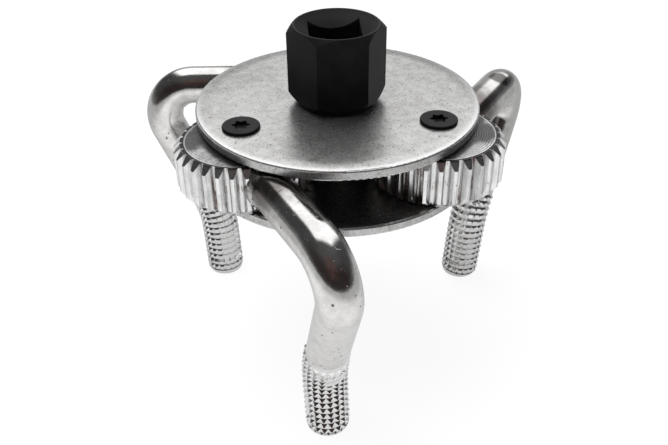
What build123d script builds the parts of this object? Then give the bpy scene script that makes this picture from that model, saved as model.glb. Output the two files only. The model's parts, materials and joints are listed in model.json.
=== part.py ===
from build123d import *
from math import acos, cos, hypot, pi, radians, sin, tan
import os

# Three-jaw geared oil filter wrench. Millimetres, +Z up along the drive axis.
# The origin is on the drive axis, in the plane of the three leg ends.
# -Y is the side between the first two jaws.

# --- housing: two round plates held apart by three sleeves -------------------
PLATE_MARGIN = 8.25
PLATE_T = 2.5
PLATE_GAP = 12.5
PLATE_EDGE_R = 0.45
HOUSING_TOP = 68.5
JAW_BEARINGS = (-150.0, -30.0, 90.0)

# --- fasteners and sleeves ---------------------------------------------------
SCREW_D = 5.0
SCREW_HEAD_D = 9.1
SCREW_HEAD_H = 0.75
SCREW_HEAD_EDGE = 0.3
LOBE_TIP_D = 4.4
LOBE_VALLEY_D = 3.2
LOBE_VALLEY_R = 0.88
LOBE_DEPTH = 1.0
SCREW_HOLE_CLEARANCE = 0.2
THREAD_CLEARANCE = 0.05
SLEEVE_D = 9.0
NUT_AF = 8.0
NUT_H = 4.0
NUT_CROWN_D = 8.3
LOCK_WASHER_D = 9.2
LOCK_WASHER_T = 1.2
LOCK_WASHER_SLIT = 0.8
SCREW_END_PROUD = 0.8
SCREW_TIP_CHAMFER = 0.5

# --- drive spindle -----------------------------------------------------------
HEX_AF = 21.0
HEX_TOP = 19.7
HEX_FOOT = 1.4
HEX_TURN = 4.5
HEX_CROWN_D = 20.9
COLLAR_D = 19.6
COLLAR_LIFT = 0.1
DRIVE_SQUARE = 12.7
DRIVE_SQUARE_CLEARANCE = 0.1
DRIVE_DEPTH = 16.0
DRIVE_MOUTH_D = 20.2
RELIEF_D = 12.4
RELIEF_DEPTH = 1.5
UPPER_JOURNAL_D = 18.0
GEAR_SEAT_D = 16.0
GEAR_SEAT_AF = 14.0
LOWER_JOURNAL_D = 12.0
TAIL_CHAMFER = 0.4
JOURNAL_CLEARANCE = 0.05

# --- gears -------------------------------------------------------------------
MODULE = 1.0
PRESSURE = radians(20)
JAW_TEETH = 30
SUN_TEETH = 24
ADDENDUM = 1.0
DEDENDUM = 1.25
SHIFT = 0.3
TOOTH_BIAS = 0.2
BACKLASH = 0.14
FLANK_STEPS = 5
GEAR_FACE_CLEARANCE = 0.2
JAW_TOOTH_CHAMFER = 1.7
SUN_TOOTH_CHAMFER = 0.6
PIVOT_CLEARANCE = 0.05

# --- jaw arms: bent round bar with a knurled leg ------------------------------
ROD_D = 10.2
ARM_LAY = 84.5
ARM_SET = (0.0, 2.0, 3.4)
ARM_CLEARANCE = 0.3
ARM_CORNER = (52.8, 0.0)
ARM_KNEE = (35.5, 3.0)
ARM_KNEE_DROP = 47.6
ARM_END = (34.6, 4.2)
CORNER_R = 9.0
KNEE_R = 35.0
BEND_DENT = 1.4
BEND_DENT_SIZE = 12.0
KNURL_D = 11.2
KNURL_ROOT_D = 9.9
KNURL_LENGTH = 28.2
KNURL_END_LAND = 1.1
KNURL_ROWS = 14
KNURL_CREST = 0.35
LEG_END_CHAMFER = 0.7
CUT_OVERRUN = 1.0
WELD_THROAT = 0.8
WELD_STAND_OFF = 0.35
WELD_GROUND_OFF = 0.6

# --- sizes that follow from the above -----------------------------------------
JAW_CIRCLE_R = MODULE * (JAW_TEETH + SUN_TEETH) / 2
PLATE_D = 2 * (JAW_CIRCLE_R + PLATE_MARGIN)
GEAR_T = PLATE_GAP - 2 * GEAR_FACE_CLEARANCE
TOP_PLATE_LOW = HOUSING_TOP - PLATE_T
BOTTOM_PLATE_HIGH = TOP_PLATE_LOW - PLATE_GAP
BOTTOM_PLATE_LOW = BOTTOM_PLATE_HIGH - PLATE_T
MID_GAP = (TOP_PLATE_LOW + BOTTOM_PLATE_HIGH) / 2
GEAR_LOW = MID_GAP - GEAR_T / 2
GEAR_HIGH = MID_GAP + GEAR_T / 2
ARM_HEIGHT = TOP_PLATE_LOW - ARM_CLEARANCE - ROD_D / 2
WELD_D = ROD_D + 2 * WELD_THROAT
WELD_START = MODULE * (JAW_TEETH / 2 + SHIFT - DEDENDUM) + WELD_STAND_OFF
SCREW_HOLE_D = SCREW_D + 2 * SCREW_HOLE_CLEARANCE
THREAD_BORE_D = SCREW_D + 2 * THREAD_CLEARANCE


UPWARD = (Align.CENTER, Align.CENTER, Align.MIN)
DOWNWARD = (Align.CENTER, Align.CENTER, Align.MAX)


def polar(radius, angle):
    return (radius * cos(angle), radius * sin(angle))


def involute(angle):
    return tan(angle) - angle


def at_jaw(index, part):
    """Carry a part made on the Z axis to the pivot of one jaw."""
    x, y = polar(JAW_CIRCLE_R, radians(JAW_BEARINGS[index]))
    return Pos(x, y, 0) * part


def disc(diameter, low, high):
    """Round disc or bar on the Z axis between two heights."""
    return Pos(0, 0, low) * Cylinder(diameter / 2, high - low, align=UPWARD)


def hexagon(across_flats, low, high):
    """Hexagonal bar on the Z axis with a flat facing -Y."""
    outline = RegularPolygon(across_flats / 2, 6, major_radius=False)
    return Pos(0, 0, low) * extrude(outline, high - low)


def crowned_hexagon(across_flats, crown_d, low, high):
    """Hexagonal bar with its corners rounded off to a circle at both ends."""
    corner_r = across_flats / 2 / cos(pi / 6)
    crown_r = crown_d / 2
    drop = corner_r - crown_r
    depth = (corner_r**2 - crown_r**2 + drop**2) / (2 * drop)
    ball = Sphere(hypot(crown_r, depth))
    bar = hexagon(across_flats, low, high)
    return bar & Pos(0, 0, high - depth) * ball & Pos(0, 0, low + depth) * ball


def half_tooth(radius, teeth, shift, bias):
    """Half the angle that one tooth takes up at a radius."""
    pitch_r = MODULE * teeth / 2
    base_r = pitch_r * cos(PRESSURE)
    width = MODULE * (pi / 2 + 2 * shift * tan(PRESSURE)) + bias - BACKLASH / 2
    at_base = width / (2 * pitch_r) + involute(PRESSURE)
    if radius <= base_r:
        return at_base
    return at_base - involute(acos(base_r / radius))


def gear_sizes(teeth, shift):
    """Root, base and tip radius of an involute gear."""
    pitch_r = MODULE * teeth / 2
    root_r = pitch_r + MODULE * (shift - DEDENDUM)
    tip_r = pitch_r + MODULE * (shift + ADDENDUM)
    return root_r, pitch_r * cos(PRESSURE), tip_r


def gear_outline(teeth, shift, bias):
    """Closed outline of an involute gear with the first tooth along +X."""
    root_r, base_r, tip_r = gear_sizes(teeth, shift)
    low_r = max(root_r, base_r)
    rise = (tip_r - low_r) / FLANK_STEPS
    radii = [low_r + rise * step for step in range(FLANK_STEPS + 1)]
    pitch = 2 * pi / teeth
    edges = []
    for tooth in range(teeth):
        middle = tooth * pitch
        half = [half_tooth(radius, teeth, shift, bias) for radius in radii]
        near = [polar(r, middle - h) for r, h in zip(radii, half)]
        far = [polar(r, middle + h) for r, h in zip(radii, half)][::-1]
        foot_in = polar(root_r, middle - half[0])
        foot_out = polar(root_r, middle + half[0])
        next_foot = polar(root_r, middle + pitch - half[0])
        edges.append(Line(foot_in, near[0]))
        edges.append(Spline(*near))
        edges.append(ThreePointArc(near[-1], polar(tip_r, middle), far[0]))
        edges.append(Spline(*far))
        edges.append(Line(far[-1], foot_out))
        edges.append(ThreePointArc(foot_out, polar(root_r, middle + pitch / 2), next_foot))
    return make_face(Wire(edges))


def gear_blank(tip_r, tooth_chamfer):
    """Turned blank with both tooth ends chamfered at 45 degrees."""
    return chamfer(disc(2 * tip_r, GEAR_LOW, GEAR_HIGH).edges(), tooth_chamfer)


def housing_plate(low, centre_hole_d):
    plate = disc(PLATE_D, low, low + PLATE_T)
    plate = fillet(plate.edges(), PLATE_EDGE_R)
    plate -= disc(centre_hole_d, low, low + PLATE_T)
    for index in range(3):
        plate -= at_jaw(index, disc(SCREW_HOLE_D, low, low + PLATE_T))
    return plate


def lobed_recess():
    """Six-lobe driver recess, cut down from the screw head's top."""
    recess = Circle(LOBE_TIP_D / 2)
    for lobe in range(6):
        x, y = polar(LOBE_VALLEY_D / 2 + LOBE_VALLEY_R, radians(60 * lobe + 30))
        recess -= Pos(x, y) * Circle(LOBE_VALLEY_R)
    return extrude(recess, LOBE_DEPTH)


def screw():
    """Low flat-topped screw that runs through the housing to its nut."""
    head_top = HOUSING_TOP + SCREW_HEAD_H
    tip = BOTTOM_PLATE_LOW - LOCK_WASHER_T - NUT_H - SCREW_END_PROUD
    head = disc(SCREW_HEAD_D, HOUSING_TOP, head_top)
    head = fillet(head.edges().sort_by(Axis.Z)[-1], SCREW_HEAD_EDGE)
    shank = disc(SCREW_D, tip, HOUSING_TOP)
    shank = chamfer(shank.edges().sort_by(Axis.Z)[0], SCREW_TIP_CHAMFER)
    return head + shank - Pos(0, 0, head_top - LOBE_DEPTH) * lobed_recess()


def sleeve():
    """Spacer between the plates that a jaw gear turns on."""
    return disc(SLEEVE_D, BOTTOM_PLATE_HIGH, TOP_PLATE_LOW) - disc(
        SCREW_HOLE_D, BOTTOM_PLATE_HIGH, TOP_PLATE_LOW
    )


def lock_washer():
    low = BOTTOM_PLATE_LOW - LOCK_WASHER_T
    ring = disc(LOCK_WASHER_D, low, BOTTOM_PLATE_LOW)
    ring -= disc(SCREW_HOLE_D, low, BOTTOM_PLATE_LOW)
    slit = Box(LOCK_WASHER_D, LOCK_WASHER_SLIT, 2 * LOCK_WASHER_T)
    return ring - Pos(LOCK_WASHER_D / 2, 0, low + LOCK_WASHER_T / 2) * slit


def nut():
    high = BOTTOM_PLATE_LOW - LOCK_WASHER_T
    low = high - NUT_H
    return crowned_hexagon(NUT_AF, NUT_CROWN_D, low, high) - disc(THREAD_BORE_D, low, high)


def drive_spindle():
    """Hex with a square socket, turned down to a collar and two journals."""
    top = HOUSING_TOP + HEX_TOP
    foot = HOUSING_TOP + HEX_FOOT
    body = crowned_hexagon(HEX_AF, HEX_CROWN_D, foot, top)
    body += disc(COLLAR_D, HOUSING_TOP + COLLAR_LIFT, foot)
    body += disc(UPPER_JOURNAL_D, GEAR_HIGH, HOUSING_TOP + COLLAR_LIFT)
    body += gear_seat()
    tail = disc(LOWER_JOURNAL_D, BOTTOM_PLATE_LOW, GEAR_LOW)
    body += chamfer(tail.edges().sort_by(Axis.Z)[0], TAIL_CHAMFER)
    side = DRIVE_SQUARE + 2 * DRIVE_SQUARE_CLEARANCE
    body -= Pos(0, 0, top) * Box(side, side, DRIVE_DEPTH, align=DOWNWARD)
    body -= Pos(0, 0, top) * mouth_ball(side)
    body -= disc(RELIEF_D, top - DRIVE_DEPTH - RELIEF_DEPTH, top - DRIVE_DEPTH)
    return Rot(0, 0, HEX_TURN) * body


def mouth_ball(side):
    """Ball that widens the socket's mouth, reaching the middle of each wall."""
    mouth_r = DRIVE_MOUTH_D / 2
    depth = mouth_r - side / 2
    above = (mouth_r**2 - (side / 2) ** 2 - depth**2) / (2 * depth)
    return Pos(0, 0, above) * Sphere(hypot(mouth_r, above))


def gear_seat():
    """Round seat with two flats that drive the sun gear."""
    flats = Pos(0, 0, MID_GAP) * Box(GEAR_SEAT_AF, GEAR_SEAT_D, GEAR_T)
    return disc(GEAR_SEAT_D, GEAR_LOW, GEAR_HIGH) & flats


def toothed_wheel(teeth, shift, bias, tooth_chamfer):
    """Spur gear between the plates with its first tooth along +X."""
    wheel = extrude(Pos(0, 0, GEAR_LOW) * gear_outline(teeth, shift, bias), GEAR_T)
    return wheel & gear_blank(gear_sizes(teeth, shift)[2], tooth_chamfer)


def sun_gear():
    """Central gear, with one tooth on the line to each jaw pivot."""
    gear = toothed_wheel(SUN_TEETH, -SHIFT, -TOOTH_BIAS, SUN_TOOTH_CHAMFER)
    return Rot(0, 0, JAW_BEARINGS[0]) * gear - Rot(0, 0, HEX_TURN) * gear_seat()


def arm_bearing(index):
    return JAW_BEARINGS[index] + ARM_LAY + ARM_SET[index]


def corner_ways(before, corner, after):
    """Unit vectors back, onward and inward from a corner, and its half angle."""
    back = (before - corner).normalized()
    onward = (after - corner).normalized()
    half = acos(max(-1, min(1, back.dot(onward)))) / 2
    return back, onward, (back + onward).normalized(), half


def bend(before, corner, after, radius):
    """Start, middle and end of the arc that rounds a corner of the bar's centreline."""
    back, onward, inward, half = corner_ways(before, corner, after)
    reach = radius / tan(half)
    middle = corner + inward * (radius / sin(half) - radius)
    return corner + back * reach, middle, corner + onward * reach


def arm_points():
    """Corners of the bar's centreline, from the gear's rim to the leg end."""
    start = Vector(WELD_START, 0, ARM_HEIGHT)
    corner = Vector(*ARM_CORNER, ARM_HEIGHT)
    knee = Vector(*ARM_KNEE, HOUSING_TOP - ARM_KNEE_DROP)
    return start, corner, knee, Vector(*ARM_END, 0)


def arm_path():
    """Centreline of the bar, running on just past the leg end."""
    start, corner, knee, end = arm_points()
    turn = bend(start, corner, knee, CORNER_R)
    ease = bend(corner, knee, end, KNEE_R)
    uncut_end = end + (end - knee).normalized() * CUT_OVERRUN
    return [
        Line(start, turn[0]),
        ThreePointArc(*turn),
        Line(turn[2], ease[0]),
        ThreePointArc(*ease),
        Line(ease[2], uncut_end),
    ]


def bar(path, diameter):
    """Round bar swept along joined edges."""
    section = Plane(origin=path[0] @ 0, z_dir=path[0] % 0) * Circle(diameter / 2)
    return sweep(section, path=Wire(path))


def bend_dent():
    """Wedge-shaped dent the bending tool leaves inside the bar's first bend."""
    start, corner, knee, _ = arm_points()
    back, onward, inward, half = corner_ways(start, corner, knee)
    tip = corner + inward * (CORNER_R / sin(half) - CORNER_R + ROD_D / 2 - BEND_DENT)
    wedge = make_face(Polyline(
        tip, tip + back * BEND_DENT_SIZE, tip + onward * BEND_DENT_SIZE, close=True
    ))
    return extrude(wedge, ROD_D / 2, both=True)


def leg_share(path, above_end):
    """The leg edge at a distance above the leg end, and the share along it."""
    back = above_end + CUT_OVERRUN
    straight, ease = path[-1], path[-2]
    if back <= straight.length:
        return straight, 1 - back / straight.length
    return ease, 1 - (back - straight.length) / ease.length


def knurl_groove(pitch):
    """V-shaped ring that parts two rows of the knurl, on the Z axis."""
    root_r = KNURL_ROOT_D / 2
    outer_r = KNURL_D / 2 + CUT_OVERRUN
    half_w = (pitch - KNURL_CREST) / 2 * (outer_r - root_r) / (KNURL_D / 2 - root_r)
    section = Polyline((root_r, 0, 0), (outer_r, 0, half_w), (outer_r, 0, -half_w), close=True)
    return revolve(make_face(section), Axis.Z)


def arm():
    """One jaw's bar, lying along +X from its pivot, leg down."""
    path = arm_path()
    rod = bar(path, ROD_D) + along_bar(WELD_START, Sphere(ROD_D / 2)) - bend_dent()
    ease, share = leg_share(path, KNURL_LENGTH)
    uncut = rod + bar([ease.trim(share, 1), path[-1]], KNURL_D)
    pitch = (KNURL_LENGTH - KNURL_END_LAND) / KNURL_ROWS
    groove = knurl_groove(pitch)
    for row in range(KNURL_ROWS):
        edge, share = leg_share(path, KNURL_LENGTH - row * pitch)
        uncut -= Plane(origin=edge @ share, z_dir=edge % share) * groove
    leg = split(uncut, Plane.XY, keep=Keep.TOP)
    return chamfer(leg.edges().sort_by(Axis.Z)[0], LEG_END_CHAMFER)


def along_bar(distance, part):
    """Lay a part made upwards from the origin along the bar, from its pivot."""
    return Pos(distance, 0, ARM_HEIGHT) * Rot(0, 90, 0) * part


def bar_seat():
    """Round-ended pocket in the side of the gear that the bar is welded into."""
    bore = along_bar(WELD_START, Cylinder(ROD_D / 2, WELD_D, align=UPWARD))
    return bore + along_bar(WELD_START, Sphere(ROD_D / 2))


def weld_lump():
    """Half ball of weld where the bar leaves the gear, ground flat on top."""
    half_ball = Sphere(WELD_D / 2) & Cylinder(WELD_D, WELD_D, align=UPWARD)
    ground = Pos(WELD_START, 0, ARM_HEIGHT + ROD_D / 2 - WELD_GROUND_OFF)
    kept = ground * Box(2 * WELD_D, 2 * WELD_D, 2 * WELD_D, align=DOWNWARD)
    return along_bar(WELD_START, half_ball) & kept


def weld_bead():
    return weld_lump() - bar_seat()


def jaw_gear(index):
    """Gear of one jaw, with a gap between teeth facing the drive axis."""
    gear = toothed_wheel(JAW_TEETH, SHIFT, TOOTH_BIAS, JAW_TOOTH_CHAMFER)
    gear = Rot(0, 0, JAW_BEARINGS[index] + 180 / JAW_TEETH) * gear
    gear -= disc(SLEEVE_D + 2 * PIVOT_CLEARANCE, GEAR_LOW, GEAR_HIGH)
    return gear - Rot(0, 0, arm_bearing(index)) * (bar_seat() + weld_lump())


def three(part):
    """The same piece at each of the three jaw pivots."""
    return Compound(children=[at_jaw(index, part) for index in range(3)])


def save(name, part):
    part.label = name
    export_step(part, f"parts/{name}.step")


os.makedirs("parts", exist_ok=True)
save("top_plate", housing_plate(TOP_PLATE_LOW, UPPER_JOURNAL_D + 2 * JOURNAL_CLEARANCE))
save("bottom_plate", housing_plate(BOTTOM_PLATE_LOW, LOWER_JOURNAL_D + 2 * JOURNAL_CLEARANCE))
save("drive_spindle", drive_spindle())
save("sun_gear", sun_gear())
save("screws", three(screw()))
save("lock_washers", three(lock_washer()))
save("nuts", three(nut()))
for jaw in range(3):
    number = jaw + 1
    lay = Rot(0, 0, arm_bearing(jaw))
    save(f"sleeve_{number}", at_jaw(jaw, sleeve()))
    save(f"jaw_gear_{number}", at_jaw(jaw, jaw_gear(jaw)))
    save(f"arm_{number}", at_jaw(jaw, lay * arm()))
    save(f"weld_bead_{number}", at_jaw(jaw, lay * weld_bead()))
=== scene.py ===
import json
import random
from math import atan2, cos, pi, radians, sin, tan

import bpy
from mathutils import Matrix, Vector


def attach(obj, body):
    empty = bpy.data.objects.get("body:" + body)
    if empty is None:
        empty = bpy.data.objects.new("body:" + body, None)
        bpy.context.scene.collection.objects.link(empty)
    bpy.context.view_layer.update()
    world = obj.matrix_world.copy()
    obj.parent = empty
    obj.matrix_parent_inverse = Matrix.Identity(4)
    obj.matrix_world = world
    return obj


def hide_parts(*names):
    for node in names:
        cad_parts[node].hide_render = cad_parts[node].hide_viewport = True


# Looks for a three-jaw geared oil filter wrench. Values named *_MM are in
# millimetres, and everything handed to Blender is in metres. X is across, Y is
# depth, growing to the back, and Z is height above the plane that the legs stand on.

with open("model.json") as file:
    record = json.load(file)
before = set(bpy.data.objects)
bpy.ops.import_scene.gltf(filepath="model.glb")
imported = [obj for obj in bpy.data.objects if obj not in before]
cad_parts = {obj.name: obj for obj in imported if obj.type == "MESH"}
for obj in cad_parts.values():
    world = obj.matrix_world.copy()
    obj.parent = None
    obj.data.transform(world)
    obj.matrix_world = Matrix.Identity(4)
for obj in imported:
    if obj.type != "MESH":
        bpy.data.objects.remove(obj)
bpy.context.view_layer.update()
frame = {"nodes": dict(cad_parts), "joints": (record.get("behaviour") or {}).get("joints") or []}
MM = 0.001

# --- sizes shared with the solid model --------------------------------------------
HOUSING_TOP_MM = 68.5
PLATE_R_MM = 35.25
PLATE_T_MM = 2.5
PLATE_EDGE_R_MM = 0.45
PLATE_GAP_MM = 12.5
MID_GAP_MM = HOUSING_TOP_MM - PLATE_T_MM - PLATE_GAP_MM / 2
GEAR_FACE_CLEARANCE_MM = 0.2
GEAR_T_MM = PLATE_GAP_MM - 2 * GEAR_FACE_CLEARANCE_MM
GEAR_ROOT_R_MM = 14.05
HEX_TOP_MM = HOUSING_TOP_MM + 19.7
DRIVE_MOUTH_R_MM = 10.1

# An arm lies ARM_LAY degrees round from its jaw's bearing, plus its own ARM_SET.
ROD_R_MM = 5.1
ARM_LAY = 84.5
ARM_SET = (0.0, 2.0, 3.4)
ARM_CLEARANCE_MM = 0.3
ARM_HEIGHT_MM = HOUSING_TOP_MM - PLATE_T_MM - ARM_CLEARANCE_MM - ROD_R_MM
WELD_STAND_OFF_MM = 0.35
ARM_START_MM = (GEAR_ROOT_R_MM + WELD_STAND_OFF_MM, 0.0, ARM_HEIGHT_MM)
ARM_CORNER_MM = (52.8, 0.0, ARM_HEIGHT_MM)
ARM_KNEE_MM = (35.5, 3.0, HOUSING_TOP_MM - 47.6)
ARM_END_MM = (34.6, 4.2, 0.0)
CORNER_R_MM = 9.0
KNEE_R_MM = 35.0
BEND_DENT_MM = 1.4
BEND_DENT_SIZE_MM = 12.0

KNURL_R_MM = 5.6
VALLEY_R_MM = 4.95
KNURL_LENGTH_MM = 28.2
END_LAND_MM = 1.1
LEG_END_CHAMFER_MM = 0.7
ROWS = 14

# --- the knurl's raised points ----------------------------------------------------
# Each column has PER_COLUMN vertices of the ROUND in a ring. Wear widens a point's
# flat top and lowers the point, by the two WORN shares at most, and one valley ring
# is cut deeper than the rest.
KNURL_HEIGHT_MM = KNURL_R_MM - VALLEY_R_MM
ROW_PITCH_MM = (KNURL_LENGTH_MM - END_LAND_MM) / ROWS
COLUMNS = 18
PER_COLUMN = 4
ROUND = COLUMNS * PER_COLUMN
SADDLE_SHARE = 0.3
TOP_SHARE = 0.05
WORN_TOP_SHARE = 0.35
WORN_HEIGHT_SHARE = 0.45
LEAST_HEIGHT_SHARE = 0.92
RING_ROW = 12
RING_DEPTH_MM = 0.15
LAND_DROP_MM = 0.25
FIRST_SEED = 10
BAR_STEPS = 240
NOSE_STEPS = 8


# --- shader building --------------------------------------------------------------
class Value:
    """A shader output whose Python operators add Math nodes."""

    def __init__(self, finish, socket):
        self.finish = finish
        self.socket = socket

    def math(self, operation, *inputs):
        numbers = dict(enumerate(inputs))
        return self.finish.add("Math", {"operation": operation}, numbers)

    def __add__(self, other):
        return self.math("ADD", self, other)

    def __sub__(self, other):
        return self.math("SUBTRACT", self, other)

    def __rsub__(self, other):
        return self.math("SUBTRACT", other, self)

    def __mul__(self, other):
        return self.math("MULTIPLY", self, other)

    def __truediv__(self, other):
        return self.math("DIVIDE", self, other)

    def __pow__(self, other):
        return self.math("POWER", self, other)

    __radd__ = __add__
    __rmul__ = __mul__

    def size(self):
        return self.math("ABSOLUTE", self)

    def at_least(self, low):
        return self.math("MAXIMUM", self, low)

    def wave(self):
        return self.math("SINE", self)

    def ramp(self, low, high):
        """0 below low, 1 above high, smooth between."""
        settings = {"interpolation_type": "SMOOTHSTEP"}
        inputs = {"Value": self, "From Min": low, "From Max": high}
        return self.finish.add("MapRange", settings, inputs)


class Finish:
    """The node tree of a material or a world while it is being built."""

    def __init__(self, owner):
        owner.use_nodes = True
        self.tree = owner.node_tree
        self.tree.nodes.clear()

    def add(self, kind, settings=None, inputs=None, out=0):
        """Add a node, set it up, fill or link its sockets and return one output."""
        node = self.tree.nodes.new("ShaderNode" + kind)
        for name, value in (settings or {}).items():
            setattr(node, name, value)
        for key, value in (inputs or {}).items():
            if isinstance(value, Value):
                self.tree.links.new(value.socket, node.inputs[key])
            else:
                node.inputs[key].default_value = value
        return Value(self, node.outputs[out]) if node.outputs else node

    def mix(self, share, first, second):
        """Colour that goes from first to second as share goes from 0 to 1."""
        # A Mix node numbers its colour sockets 6 and 7, and its colour result 2.
        inputs = {0: share, 6: first, 7: second}
        return self.add("Mix", {"data_type": "RGBA"}, inputs, out=2)

    def noise(self, where, scale, detail, roughness):
        """Noise around 0.5, with about scale lumps to a metre, or to a unit of direction."""
        inputs = {"Vector": where, "Scale": scale, "Detail": detail, "Roughness": roughness}
        return self.add("TexNoise", None, inputs)

    def stretch(self, where, factors):
        """Coordinates scaled by a different factor along each axis."""
        return self.add("VectorMath", {"operation": "MULTIPLY"}, {0: where, 1: factors})

    def bump(self, height, distance_mm, strength):
        """Relief in which a height of 1 stands distance_mm above a height of 0."""
        inputs = {"Height": height, "Distance": distance_mm * MM, "Strength": strength}
        return self.add("Bump", None, inputs)

    def surface(self, inputs):
        """End a material with one shader, given the values of its sockets by name."""
        shader = self.add("BsdfPrincipled", None, inputs)
        self.add("OutputMaterial", None, {"Surface": shader})


def material(name):
    made = bpy.data.materials.new(name)
    return made, Finish(made)


def grey(level, warm=0.0):
    """Grey that leans by the share warm from blue to red."""
    return (level * (1 + warm), level, level * (1 - warm), 1.0)


def object_place(f):
    """Place in the shared frame, in metres."""
    return f.add("TexCoord", out="Object")


def axes_of(f, where):
    """The three coordinates of a place or direction as separate values."""
    node = f.add("SeparateXYZ", None, {0: where}).socket.node
    return [Value(f, node.outputs[k]) for k in range(3)]


def axes_mm(f, where):
    """The three coordinates of a place in millimetres."""
    return axes_of(f, f.stretch(where, (1 / MM, 1 / MM, 1 / MM)))


def length(*offsets):
    """Length of an offset, from its parts along the axes."""
    return sum(offset * offset for offset in offsets) ** 0.5


def toward(direction, way):
    """How far a direction, given as three values, points a fixed way."""
    return sum(axis * part for axis, part in zip(direction, way))


def rays(f):
    """1 on rays from the camera, and 1 on rays that come off metal."""
    path = f.add("LightPath", out="Is Camera Ray")
    return path, Value(f, path.socket.node.outputs["Is Glossy Ray"])


# --- the plates' finish -----------------------------------------------------------
PLATE_FLAT_R_MM = PLATE_R_MM - PLATE_EDGE_R_MM

# The faces dip over ROLL_WIDTH_MM towards the rim, ROLL_DIP units of their relief deep.
ROLL_WIDTH_MM = 4.0
ROLL_DIP = 14


def shaded_inner_faces(radius, off_middle):
    """1 on the two plate faces that look at the gears, which get painted shade, 0 elsewhere."""
    within = 1 - off_middle.ramp(PLATE_GAP_MM / 2 + 0.03, PLATE_GAP_MM / 2 + 0.09)
    return within * (1 - radius.ramp(PLATE_FLAT_R_MM - 0.2, PLATE_FLAT_R_MM + 0.2))


def rim_highlight_mask(radius, off_middle):
    """1 on the plates' rounded edges, which get a painted highlight."""
    off_plate = (off_middle - (PLATE_GAP_MM + PLATE_T_MM) / 2).size()
    outer = radius.ramp(PLATE_FLAT_R_MM - 0.15, PLATE_FLAT_R_MM + 0.1)
    return outer * off_plate.ramp(PLATE_T_MM / 2 - 0.5, PLATE_T_MM / 2 - 0.3)


def rolled_edge(radius):
    """How far the plates' faces dip towards the rim, from 0 to 1."""
    start = PLATE_FLAT_R_MM - ROLL_WIDTH_MM
    share = ((radius - start) / ROLL_WIDTH_MM).at_least(0.0)
    return share * share * (1 - radius.ramp(PLATE_FLAT_R_MM + 0.12, PLATE_FLAT_R_MM + 0.18))


def zinc_sheet():
    """Satin zinc-plated sheet with a fine dark speckle and faint clouding, a painted highlight
    along the rim and painted shade on the faces between the plates.
    """
    made, f = material("zinc_sheet")
    where = object_place(f)
    across, depth, height = axes_mm(f, where)
    radius = length(across, depth)
    off_middle = (height - MID_GAP_MM).size()
    cloud = f.noise(where, 60, 4, 0.6)
    blotch = f.noise(where, 420, 3, 0.6)
    grain = f.noise(where, 3000, 3, 0.75)
    speck = f.noise(where, 1500, 2, 0.5).ramp(0.63, 0.71)
    level = cloud * 0.2 + blotch * 0.3 + grain * 0.5
    rim = rim_highlight_mask(radius, off_middle)
    rolled = rolled_edge(radius)
    dips = speck * 0.5 + rolled * ROLL_DIP
    tone = f.mix(level.ramp(0.38, 0.62), grey(0.42, 0.012), grey(0.67, 0.006))
    tone = f.mix(speck * 0.8, tone, grey(0.14, 0.04))
    # Painted highlight: the faces are made lighter where they roll over towards the rim.
    tone = f.mix(rolled.ramp(0.35, 0.95) * 0.6, tone, grey(0.92))
    # Painted highlight: the plates' rounded edges are made near-white.
    tone = f.mix(rim, tone, grey(0.92))
    # Painted shade: the faces between the plates are made dark grey.
    tone = f.mix(shaded_inner_faces(radius, off_middle), tone, grey(0.24, 0.02))
    f.surface({
        "Base Color": tone,
        "Metallic": 0.95,
        "Roughness": 0.30 + (grain - 0.5) * 0.35 + (cloud - 0.5) * 0.12 - rim * 0.1,
        "Normal": f.bump(grain * 0.7 + blotch * 0.6 - dips, 0.05, 0.6),
    })
    return made


# --- the bars' finish -------------------------------------------------------------
# Distances over which the finish changes, from and to, and how ragged the noise
# makes some of them.
NEAR_GEAR_DARK_MM = (22.5, 32.5)
NEAR_GEAR_DARK_RAGGED_MM = 6.0
SPOT_SHADE_MM = (2.1, 3.4)
SPOT_SHADE_RAGGED_MM = 2.0
KNURL_TOP_MM = (KNURL_LENGTH_MM - 1.4, KNURL_LENGTH_MM - 0.6)

# The middle of the painted shade spot on each bar, or None where a bar has none. It stands in
# for the bar's own shape, where the real bar's highlight ends before its bend.
SHADED_SPOTS_MM = (None, (44.8, 16.2, 65.6), None)


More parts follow.
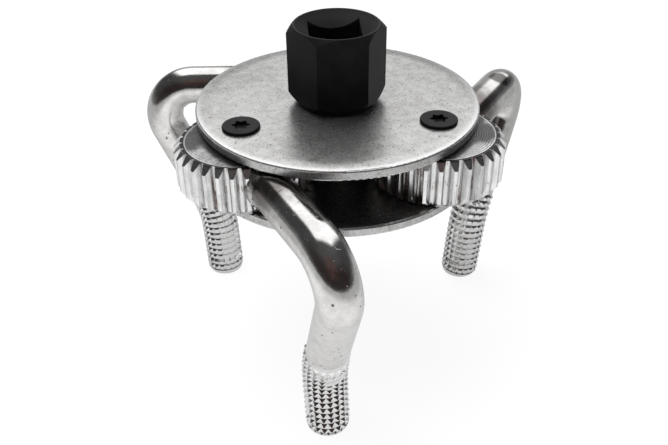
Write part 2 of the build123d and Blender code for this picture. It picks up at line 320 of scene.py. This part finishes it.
def bright_bar(name, pivot_mm, shaded_spot_mm):
    """Bright plating over drawn bar: clouded and pitted, darker towards the gear, with painted
    light on the knurled legs and a painted shade spot on one bar.
    """
    made, f = material(name)
    where = object_place(f)
    place = axes_mm(f, where)
    across, depth, height = place
    cloud = f.noise(where, 110, 4, 0.6)
    mottle = f.noise(where, 480, 3, 0.65)
    fine = f.noise(where, 1900, 3, 0.65)
    pit = f.noise(where, 820, 2, 0.5).ramp(0.69, 0.75)
    uneven = mottle - 0.5
    level = cloud * 0.5 + mottle * 0.5
    tone = f.mix(level.ramp(0.34, 0.66), grey(0.66, 0.015), grey(0.86, 0.008))
    # Painted light: the knurled legs are made lighter to offset the shade in the knurl's
    # valleys.
    knurl = 1 - height.ramp(*KNURL_TOP_MM)
    tone = f.mix(knurl * 0.7, tone, grey(0.97))
    from_pivot = length(across - pivot_mm.x, depth - pivot_mm.y)
    # Darker towards the gear.
    near_gear_dark = 1 - (from_pivot + uneven * NEAR_GEAR_DARK_RAGGED_MM).ramp(*NEAR_GEAR_DARK_MM)
    tone = f.mix(near_gear_dark * 0.85, tone, (0.13, 0.11, 0.10, 1.0))
    # Painted shade: a dark spot stands in for where the bar's highlight ends.
    if shaded_spot_mm:
        from_spot = length(*(axis - middle for axis, middle in zip(place, shaded_spot_mm)))
        spot_shade = 1 - (from_spot + uneven * SPOT_SHADE_RAGGED_MM).ramp(*SPOT_SHADE_MM)
        tone = f.mix(spot_shade * 0.88, tone, (0.07, 0.064, 0.060, 1.0))
    tone = f.mix(pit * 0.85, tone, (0.10, 0.055, 0.045, 1.0))
    f.surface({
        "Base Color": tone,
        "Metallic": 1.0,
        "Roughness": 0.15 + (cloud - 0.45) * 0.10 + (fine - 0.5) * 0.14 + pit * 0.3,
        "Normal": f.bump(fine * 0.3 + cloud * 0.5 - pit * 1.2, 0.08, 0.5),
    })
    return made


# --- the jaw gears' finish --------------------------------------------------------
# Distances over which the finish changes, from and to, and how ragged the noise
# makes some of them.
GEAR_FACE_MM = (GEAR_T_MM / 2 - 0.15, GEAR_T_MM / 2 - 0.05)
TOOTH_GAP_MM = (GEAR_ROOT_R_MM + 0.15, GEAR_ROOT_R_MM + 1.15)
TOOTH_END_REFLECTION_MM = (GEAR_ROOT_R_MM - 0.35, GEAR_ROOT_R_MM - 0.25)
EDGE_HIGHLIGHT_MM = (GEAR_ROOT_R_MM - 0.7, GEAR_ROOT_R_MM - 0.55)
DARK_SPOT_MM = (4.0, 6.4)
DARK_SPOT_RAGGED_MM = 4.0
PLATE_SHADE_MM = (PLATE_R_MM + 0.85, PLATE_R_MM + 2.15)
PLATE_SHADE_RAGGED_MM = 0.8

# The wave of the turned rings, in radians to a millimetre, and how far noise shifts it.
TURNING_PER_MM = 10.5
TURNING_WANDER = 7.0

# Each gear's face: its grey level, how plainly its turned rings show, and the
# middle of its dark spot in millimetres, or None where a gear has none.
GEAR_FACES = (
    (0.50, 0.04, (-36.0, -13.5)),
    (0.56, 0.20, (32.8, -14.6)),
    (0.46, 0.12, None),
)


def outside_shade_and_spot(across, depth, cloud, spot_mm):
    """0 close to and between the plates, where painted shade falls, and in the dark spot, 1
    elsewhere.
    """
    uneven = cloud - 0.5
    plain_face = (length(across, depth) + uneven * PLATE_SHADE_RAGGED_MM).ramp(*PLATE_SHADE_MM)
    if spot_mm:
        from_spot = length(across - spot_mm[0], depth - spot_mm[1])
        plain_face = plain_face * (from_spot + uneven * DARK_SPOT_RAGGED_MM).ramp(*DARK_SPOT_MM)
    return plain_face


def cut_gear(name, pivot_mm, level, ringed, spot_mm):
    """Bright plating over cut teeth, with turned rings on the gear's two faces, painted shade
    near the plates, a painted highlight round each face and painted dark reflection on the tooth
    ends.
    """
    made, f = material(name)
    where = object_place(f)
    across, depth, height = axes_mm(f, where)
    radius = length(across - pivot_mm.x, depth - pivot_mm.y)
    face = (height - MID_GAP_MM).size().ramp(*GEAR_FACE_MM)
    wander = f.noise(where, 500, 2, 0.5)
    rings = (radius * TURNING_PER_MM + wander * TURNING_WANDER).wave()
    lines = f.noise(f.stretch(where, (1, 1, 0.06)), 2400, 2, 0.6)
    cloud = f.noise(where, 260, 3, 0.6)
    pit = f.noise(where, 900, 2, 0.5).ramp(0.68, 0.75)
    scored = f.noise(where, 1500, 3, 0.7)
    turned = (rings * ringed + cloud * 0.4 + scored * 0.6).ramp(0.32, 0.68)
    turned = f.mix(turned, grey(level * 0.5), grey(level * 1.35))
    shade_and_spot = 1 - outside_shade_and_spot(across, depth, cloud, spot_mm)
    # Painted shade close to and between the plates, and the dark spot.
    turned = f.mix(shade_and_spot * 0.85, turned, grey(0.05))
    # Painted highlight: a light line round the face's outer edge.
    turned = f.mix(radius.ramp(*EDGE_HIGHLIGHT_MM) * 0.4, turned, grey(0.9))
    # Painted reflection: the tooth ends on the faces are made near-black, as if mirroring the
    # dark room.
    turned = f.mix(radius.ramp(*TOOTH_END_REFLECTION_MM) * 0.94, turned, grey(0.012))
    tone = f.mix((cloud * 0.5 + lines * 0.5).ramp(0.3, 0.7), grey(0.66), grey(0.95))
    tone = f.mix(face, tone, turned)
    gap = 1 - radius.ramp(*TOOTH_GAP_MM)
    grime = gap * (1 - face) * (lines * 0.5 + cloud * 0.5).ramp(0.48, 0.60)
    tone = f.mix(grime * 0.85, tone, (0.17, 0.10, 0.08, 1.0))
    tone = f.mix(pit * 0.8, tone, grey(0.10, 0.1))
    relief = lines * 0.6 + cloud * 0.6 - pit + (rings * 0.3 + scored * 1.5) * face
    f.surface({
        "Base Color": tone,
        "Metallic": 1.0,
        "Roughness": 0.18 + (lines - 0.5) * 0.2 + pit * 0.2 + face * 0.18,
        "Normal": f.bump(relief, 0.07, 0.6),
    })
    return made


# --- the other finishes -----------------------------------------------------------
MOUTH_HIGHLIGHT_MM = (HEX_TOP_MM - 3.9, HEX_TOP_MM - 0.7)


def black_oxide(name, level, roughness):
    """Satin black oxide with faint lighter rubbing, and a painted highlight that makes the
    drive's mouth lighter.
    """
    made, f = material(name)
    where = object_place(f)
    across, depth, height = axes_mm(f, where)
    cloud = f.noise(where, 170, 4, 0.6)
    grain = f.noise(where, 2600, 2, 0.6)
    within = 1 - length(across, depth).ramp(DRIVE_MOUTH_R_MM, DRIVE_MOUTH_R_MM + 0.2)
    mouth = height.ramp(*MOUTH_HIGHLIGHT_MM) * within
    tone = f.mix(cloud.ramp(0.35, 0.75), grey(level * 0.7), grey(level * 1.5))
    # Painted highlight: the drive's mouth is made lighter.
    tone = f.mix(mouth, tone, grey(0.020))
    f.surface({
        "Base Color": tone,
        "Metallic": 0.0,
        "Specular IOR Level": 0.13,
        "Roughness": roughness + (grain - 0.5) * 0.22 + (cloud - 0.5) * 0.1,
        "Normal": f.bump(grain, 0.03, 0.6),
    })
    return made


def dull_steel():
    """Oiled machined steel inside the housing."""
    made, f = material("dull_steel")
    lines = f.noise(f.stretch(object_place(f), (1, 1, 0.1)), 1800, 2, 0.6)
    f.surface({
        "Base Color": f.mix(lines, grey(0.22), grey(0.42)),
        "Metallic": 1.0,
        "Roughness": 0.32 + (lines - 0.5) * 0.3,
        "Normal": f.bump(lines, 0.05, 0.5),
    })
    return made


def weld_metal():
    """Plated weld: rippled and mottled."""
    made, f = material("weld_metal")
    ripple = f.noise(object_place(f), 700, 3, 0.6)
    f.surface({
        "Base Color": f.mix(ripple.ramp(0.35, 0.65), grey(0.34, 0.02), grey(0.70, 0.01)),
        "Metallic": 1.0,
        "Roughness": 0.26 + (ripple - 0.5) * 0.3,
        "Normal": f.bump(ripple, 0.3, 0.6),
    })
    return made


# --- the line that a bar follows --------------------------------------------------
class Section:
    """A place on a bar's centreline, with the directions sideways, crossways and onward."""

    def __init__(self, place, side, way):
        self.place = place
        self.side = side
        self.cross = way.cross(side)
        self.way = way

    def outward(self, angle):
        return self.side * cos(angle) + self.cross * sin(angle)


class Centreline:
    """Straight runs joined by arcs, read by distance along it."""

    def __init__(self, points, radii):
        self.runs = []
        here = points[0]
        for before, corner, after, radius in zip(points, points[1:], points[2:], radii):
            way_in = (corner - before).normalized()
            way_out = (after - corner).normalized()
            turn = way_in.angle(way_out)
            back = radius * tan(turn / 2)
            self.add_line(here, corner - way_in * back)
            self.add_arc(corner - way_in * back, way_in, way_out, turn, radius)
            here = corner + way_out * back
        self.add_line(here, points[-1])
        self.length = sum(run_length for run_length, _ in self.runs)

    def add_line(self, start, end):
        way = (end - start).normalized()
        self.runs.append(((end - start).length, lambda s: (start + way * s, way)))

    def add_arc(self, start, way_in, way_out, turn, radius):
        inward = (way_out - way_in * cos(turn)).normalized()

        def at(s):
            angle = s / radius
            place = start + way_in * (radius * sin(angle)) + inward * (radius * (1 - cos(angle)))
            return place, way_in * cos(angle) + inward * sin(angle)

        self.runs.append((radius * turn, at))

    def at(self, distance):
        for run_length, read in self.runs:
            if distance <= run_length or read is self.runs[-1][1]:
                return read(distance)
            distance -= run_length

    def sections(self, stops):
        """A section at each stop, in order along the line, without twist."""
        found = {}
        side = Vector((0, 1, 0))
        for stop in sorted(stops):
            place, way = self.at(stop)
            side = (side - way * side.dot(way)).normalized()
            found[stop] = Section(place, side, way)
        return found


class BendDent:
    """The two flats and the crease that the bending tool leaves inside a bend."""

    def __init__(self, before, corner, after, radius):
        back = (before - corner).normalized()
        onward = (after - corner).normalized()
        inward = (back + onward).normalized()
        half = back.angle(onward) / 2
        self.tip = corner + inward * (radius / sin(half) - radius + ROD_R_MM - BEND_DENT_MM)
        self.flats = [(inward - way * inward.dot(way)).normalized() for way in (back, onward)]
        self.slope = onward.dot(self.flats[0])

    def press(self, vert):
        """The vertex moved onto the nearer flat, if it stands inside the dent."""
        depths = [(vert - self.tip).dot(flat) for flat in self.flats]
        if min(depths) <= 0 or sum(depths) > BEND_DENT_SIZE_MM * self.slope:
            return vert
        shallow = depths.index(min(depths))
        return vert - self.flats[shallow] * depths[shallow]


# --- the bars with their knurled legs ---------------------------------------------
class Shell:
    """Vertices and faces of one piece, in millimetres."""

    def __init__(self):
        self.verts = []
        self.faces = []
        self.smooth = []

    def vert(self, place):
        self.verts.append(place)
        return len(self.verts) - 1

    def ring(self, section, radius, count=ROUND):
        angles = [2 * pi * index / count for index in range(count)]
        return [self.vert(section.place + section.outward(a) * radius) for a in angles]

    def nose(self, section, radius):
        """Rounded end that the bar starts with; returns its widest ring."""
        last = None
        for step in range(1, NOSE_STEPS + 1):
            angle = pi / 2 * step / NOSE_STEPS
            centre = section.place - section.way * (radius * cos(angle))
            here = self.ring(Section(centre, section.side, section.way), radius * sin(angle))
            if last is None:
                self.face(here[::-1], True)
            else:
                self.band(last, here)
            last = here
        return last

    def face(self, corners, smooth=False):
        self.faces.append(corners)
        self.smooth.append(smooth)

    def band(self, near, far, smooth=True):
        count = len(near)
        for index in range(count):
            after = (index + 1) % count
            self.face([near[index], near[after], far[after], far[index]], smooth)

    def make(self, name, turn, pivot):
        """Turn the piece about Z, carry it to its pivot and make the object."""
        place = Matrix.Translation(pivot) @ Matrix.Rotation(turn, 4, "Z")
        mesh = bpy.data.meshes.new(name)
        mesh.from_pydata([place @ (v * MM) for v in self.verts], [], self.faces)
        mesh.polygons.foreach_set("use_smooth", self.smooth)
        mesh.update()
        made = bpy.data.objects.new(name, mesh)
        bpy.context.scene.collection.objects.link(made)
        return made


def rubbed_patch(column, row, wide, tall):
    """Wear that is 1 at the patch's middle and 0 outside its half sizes."""

    def wear(at_column, at_row):
        across = (at_column - column + COLUMNS / 2) % COLUMNS - COLUMNS / 2
        return max(0.0, 1 - (across / wide) ** 2 - ((at_row - row) / tall) ** 2)

    return wear


PATCH_EDGE = 1.3
PATCH_FADE = 0.4


def slanted_patch(column, row, wide, tall, lean):
    """Wear over a patch that climbs by lean rows for each column and fades at its edge."""

    def wear(at_column, at_row):
        across = at_column - column
        along = at_row - row - across * lean
        reach = max(abs(across) / wide, abs(along) / tall)
        return min(1.0, max(0.0, (PATCH_EDGE - reach) / PATCH_FADE))

    return wear


LEG_WEAR = (
    slanted_patch(column=4.0, row=2.6, wide=1.3, tall=1.1, lean=0.25),
    rubbed_patch(column=11.0, row=8, wide=2.6, tall=11.0),
    rubbed_patch(column=16.2, row=8, wide=4.0, tall=12.0),
)


def plain_bar(shell, sections, dent):
    """The bar from its rounded start to the knurl; returns its last ring."""
    last = shell.nose(sections[0], ROD_R_MM)
    for section in sections[1:]:
        here = shell.ring(section, ROD_R_MM)
        for index in here:
            shell.verts[index] = dent.press(shell.verts[index])
        shell.band(last, here)
        last = here
    return last


def pyramid(shell, section, column, peak_r, top_share, near, far, saddles):
    """One raised pyramid with a small flat top over its cell of the knurl."""
    middle = 2 * pi * (column + 0.5) / COLUMNS
    top = []
    for turn, along in ((-1, -1), (1, -1), (1, 1), (-1, 1)):
        out = section.outward(middle + turn * 2 * pi / COLUMNS * top_share)
        lift = section.way * (along * ROW_PITCH_MM * top_share)
        top.append(shell.vert(section.place + lift + out * peak_r))
    left, right = saddles
    shell.face(top)
    shell.face(near + [top[1], top[0]])
    shell.face(far[::-1] + [top[3], top[2]])
    for corners in (
        (near[-1], right, top[1]), (right, top[2], top[1]), (right, far[-1], top[2]),
        (far[0], left, top[3]), (left, top[0], top[3]), (left, near[0], top[0]),
    ):
        shell.face(list(corners))


def cell_edge(ring, column):
    """The stretch of a valley ring that bounds one cell of the knurl."""
    return [ring[(column * PER_COLUMN + k) % ROUND] for k in range(PER_COLUMN + 1)]


def knurl_row(shell, section, near_ring, far_ring, row_wear, draws):
    """One row of pyramids round the leg, between two valley rings."""
    saddles = shell.ring(section, VALLEY_R_MM + KNURL_HEIGHT_MM * SADDLE_SHARE, COLUMNS)
    for column, worn in enumerate(row_wear):
        uneven = draws.uniform(LEAST_HEIGHT_SHARE, 1.0)
        peak_r = VALLEY_R_MM + KNURL_HEIGHT_MM * (1 - WORN_HEIGHT_SHARE * worn) * uneven
        top_share = TOP_SHARE + WORN_TOP_SHARE * worn
        near, far = cell_edge(near_ring, column), cell_edge(far_ring, column)
        sides = (saddles[column], saddles[(column + 1) % COLUMNS])
        pyramid(shell, section, column, peak_r, top_share, near, far, sides)


def flatten_end(shell, ring, way):
    """Slide the last ring along the leg until it lies on the standing plane."""
    for index in ring:
        vert = shell.verts[index]
        shell.verts[index] = vert - way * (vert.z / way.z)


def leg_end(shell, valley, land_section, end_section):
    """The plain band below the knurl and the face that the leg stands on."""
    land = shell.ring(land_section, KNURL_R_MM - LAND_DROP_MM)
    end = shell.ring(end_section, KNURL_R_MM - LEG_END_CHAMFER_MM)
    flatten_end(shell, end, end_section.way)
    shell.band(valley, land, False)
    shell.band(land, end, False)
    shell.face(end)


def joint_place(name):
    """Where a joint's axis stands, in metres."""
    joint = next(j for j in frame["joints"] if j["name"] == name)
    return Vector(joint["pos_m"])


def knurled_arm(jaw, wear):
    """One bar from its gear to the leg end, with pyramids raised on the leg."""
    points = [Vector(p) for p in (ARM_START_MM, ARM_CORNER_MM, ARM_KNEE_MM, ARM_END_MM)]
    line = Centreline(points, (CORNER_R_MM, KNEE_R_MM))
    start = line.length - KNURL_LENGTH_MM
    bar_stops = [start * k / BAR_STEPS for k in range(BAR_STEPS + 1)]
    valley_stops = [start + ROW_PITCH_MM * row for row in range(ROWS + 1)]
    row_stops = [stop + ROW_PITCH_MM / 2 for stop in valley_stops[:-1]]
    at = line.sections({*bar_stops, *valley_stops, *row_stops, line.length})
    floors = [VALLEY_R_MM] * (ROWS + 1)
    floors[RING_ROW] -= RING_DEPTH_MM
    shell = Shell()
    dent = BendDent(*points[:3], CORNER_R_MM)
    last = plain_bar(shell, [at[stop] for stop in bar_stops], dent)
    valleys = [shell.ring(at[stop], radius) for stop, radius in zip(valley_stops, floors)]
    shell.band(last, valleys[0], False)
    draws = random.Random(FIRST_SEED + jaw)
    for row, stop in enumerate(row_stops):
        row_wear = [wear(column, row) for column in range(COLUMNS)]
        knurl_row(shell, at[stop], valleys[row], valleys[row + 1], row_wear, draws)
    leg_end(shell, valleys[-1], at[valley_stops[-1]], at[line.length])
    pivot = joint_place(f"jaw_{jaw + 1}_swing")
    bearing = atan2(pivot.y, pivot.x) + radians(ARM_LAY + ARM_SET[jaw])
    arm = shell.make(f"knurled_arm_{jaw + 1}", bearing, Vector((pivot.x, pivot.y, 0)))
    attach(arm, f"jaw_{jaw + 1}")
    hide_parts(f"arm_{jaw + 1}")
    return arm


# --- floor and surroundings -------------------------------------------------------
FLOOR_SIZE = 6
FLOOR_LIGHT_POOL_MM = (-30, -120)


def pale_floor():
    """White sheet that keeps the shadow, and that metal sees with painted light and shade."""
    made, f = material("pale_floor")
    path, glossy = rays(f)
    lit = f.add("BsdfDiffuse", None, {"Color": grey(0.9)})
    across, depth, _ = axes_mm(f, object_place(f))
    # Metal sees it with a painted pool of light round one place, a painted shadow under the
    # tool, and greyer to the right.
    from_light_pool = length(across - FLOOR_LIGHT_POOL_MM[0], depth - FLOOR_LIGHT_POOL_MM[1])
    painted_tool_shadow = 1 - length(across, depth).ramp(50, 100)
    level = 0.96 - from_light_pool.ramp(70, 240) * 0.44 - painted_tool_shadow * 0.22
    seen = path + glossy * (level - across.ramp(50, 200) * 0.08)
    white = f.add("Emission", None, {"Color": grey(1.0), "Strength": seen})
    share = path * 0.92 + glossy
    shown = f.add("MixShader", None, {0: share, 1: lit, 2: white})
    f.add("OutputMaterial", None, {"Surface": shown})
    bpy.ops.mesh.primitive_plane_add(size=FLOOR_SIZE, location=(0, 0, 0))
    floor = bpy.context.active_object
    floor.name = "floor"
    floor.data.materials.append(made)


# Unit directions: into the panel from its two sides, and to the warm patches. The
# panel's lower edge climbs to the back by PANEL_SILL_SLOPE.
PANEL_RIGHT_SIDE = (-0.713, 0.608, 0.350)
PANEL_LEFT_SIDE = (0.856, 0.300, 0.421)
PANEL_SILL_SLOPE = 0.44
PATCHES_WAY = (0.0, -0.766, 0.642)


def bright_panel(direction):
    """1 on the large panel behind and above, 0 elsewhere."""
    _, depth, up = direction
    inside_right = toward(direction, PANEL_RIGHT_SIDE)
    inside_left = toward(direction, PANEL_LEFT_SIDE)
    above_sill = up - depth * PANEL_SILL_SLOPE
    panel = inside_right.ramp(-0.01, 0.11) * inside_left.ramp(-0.03, 0.08)
    return panel * above_sill.ramp(-0.06, 0.06) * depth.ramp(-0.03, 0.08)


def dim_room(f):
    """What metal sees above the floor: dark walls, a paler back and the bright panel."""
    view = f.add("TexCoord", out="Generated")
    direction = axes_of(f, view)
    across, depth, up = direction
    front = 1 - depth.ramp(-0.6, 0.3)
    low = 1 - up.ramp(0.5, 0.9)
    horizon = 1 - up.ramp(0.02, 0.26)
    sweep = depth.ramp(0.3, 0.8) * (1 - (across - 0.1).size().ramp(0.2, 0.75))
    facing = toward(direction, PATCHES_WAY).ramp(0.90, 0.97)
    patches = f.noise(view, 4.5, 3, 0.6).ramp(0.44, 0.52)
    room = f.mix(low, grey(0.075), (0.026, 0.020, 0.019, 1))
    room = f.mix(front, grey(0.055), room)
    room = f.mix(horizon * (1 - front) * 0.75, room, grey(0.24))
    room = f.mix(sweep * 0.9, room, grey(0.36))
    room = f.mix(facing * patches, room, (0.085, 0.046, 0.038, 1))
    return f.mix(bright_panel(direction), room, grey(1.3))


def studio_world():
    """White behind the tool, even grey light on it, and to metal a dim room."""
    world = bpy.data.worlds.new("studio")
    bpy.context.scene.world = world
    f = Finish(world)
    path, glossy = rays(f)
    room = dim_room(f)
    shown = f.mix(glossy, grey(0.5), room)
    shown = f.mix(path, shown, grey(1.0))
    background = f.add("Background", None, {"Color": shown, "Strength": 1.0})
    f.add("OutputWorld", None, {"Surface": background})


def softbox(name, place, target, wide, deep, watts):
    """Soft lamp that lights the tool and isn't mirrored in its metal."""
    lamp = bpy.data.lights.new(name, "AREA")
    lamp.shape = "RECTANGLE"
    lamp.size, lamp.size_y = wide, deep
    lamp.energy = watts
    made = bpy.data.objects.new(name, lamp)
    made.location = place
    made.visible_glossy = False
    made.rotation_euler = (Vector(place) - Vector(target)).to_track_quat("Z", "Y").to_euler()
    bpy.context.scene.collection.objects.link(made)


# --- camera -----------------------------------------------------------------------
SENSOR_MM = 36.0
LENS_MM = 43.7497
NEAR_CLIP_MM = 10.0
DISTANCE_MM = 224.03
ELEVATION = radians(34.51)
AIM_MM = (-1.17, 0.0, HOUSING_TOP_MM - 37.39)
ROLL = radians(-0.68)
SWING = radians(-2.58)


def viewing_camera():
    """Camera above the front, aimed at the tool, then rolled and swung about Z."""
    data = bpy.data.cameras.new("view")
    data.sensor_width = SENSOR_MM
    data.lens = LENS_MM
    data.clip_start = NEAR_CLIP_MM * MM
    back = Vector((0, -cos(ELEVATION), sin(ELEVATION)))
    right = Vector((1, 0, 0))
    up = back.cross(right)
    leaned_right = right * cos(ROLL) + up * sin(ROLL)
    leaned_up = up * cos(ROLL) - right * sin(ROLL)
    place = (Vector(AIM_MM) + back * DISTANCE_MM) * MM
    pose = Matrix.Identity(4)
    for column, way in enumerate((leaned_right, leaned_up, back, place)):
        for row in range(3):
            pose[row][column] = way[row]
    camera = bpy.data.objects.new("view", data)
    camera.matrix_world = Matrix.Rotation(SWING, 4, "Z") @ pose
    bpy.context.scene.collection.objects.link(camera)
    bpy.context.scene.camera = camera


# --- the arms and the finishes of every piece -------------------------------------
arms = [knurled_arm(jaw, wear) for jaw, wear in enumerate(LEG_WEAR)]
pivots_mm = [joint_place(f"jaw_{jaw}_swing") / MM for jaw in (1, 2, 3)]

zinc = zinc_sheet()
bars = [
    bright_bar(f"bright_bar_{jaw}", pivot_mm, shaded_spot_mm)
    for jaw, (pivot_mm, shaded_spot_mm) in enumerate(zip(pivots_mm, SHADED_SPOTS_MM), 1)
]
gears = [
    cut_gear(f"cut_gear_{jaw}", pivot_mm, *look)
    for jaw, (pivot_mm, look) in enumerate(zip(pivots_mm, GEAR_FACES), 1)
]
hex_black = black_oxide("hex_black", level=0.006, roughness=0.42)
screw_black = black_oxide("screw_black", level=0.006, roughness=0.36)
steel = dull_steel()
weld = weld_metal()

finish_of = {
    "top_plate": zinc, "bottom_plate": zinc, "nuts": zinc, "lock_washers": zinc,
    "drive_spindle": hex_black, "screws": screw_black, "sun_gear": steel,
}
for jaw, gear in enumerate(gears, 1):
    finish_of[f"jaw_gear_{jaw}"] = gear
    finish_of[f"sleeve_{jaw}"] = steel
    finish_of[f"weld_bead_{jaw}"] = weld
for node, finish in finish_of.items():
    slots = frame["nodes"][node].data.materials
    slots.clear()
    slots.append(finish)
for arm, bar in zip(arms, bars):
    arm.data.materials.append(bar)

# --- the studio -------------------------------------------------------------------
pale_floor()
studio_world()
softbox("overhead", (-0.10, 0.12, 0.62), (0, 0, 0.05), wide=0.55, deep=0.40, watts=7.0)
viewing_camera()
bpy.context.scene.view_settings.view_transform = "Standard"
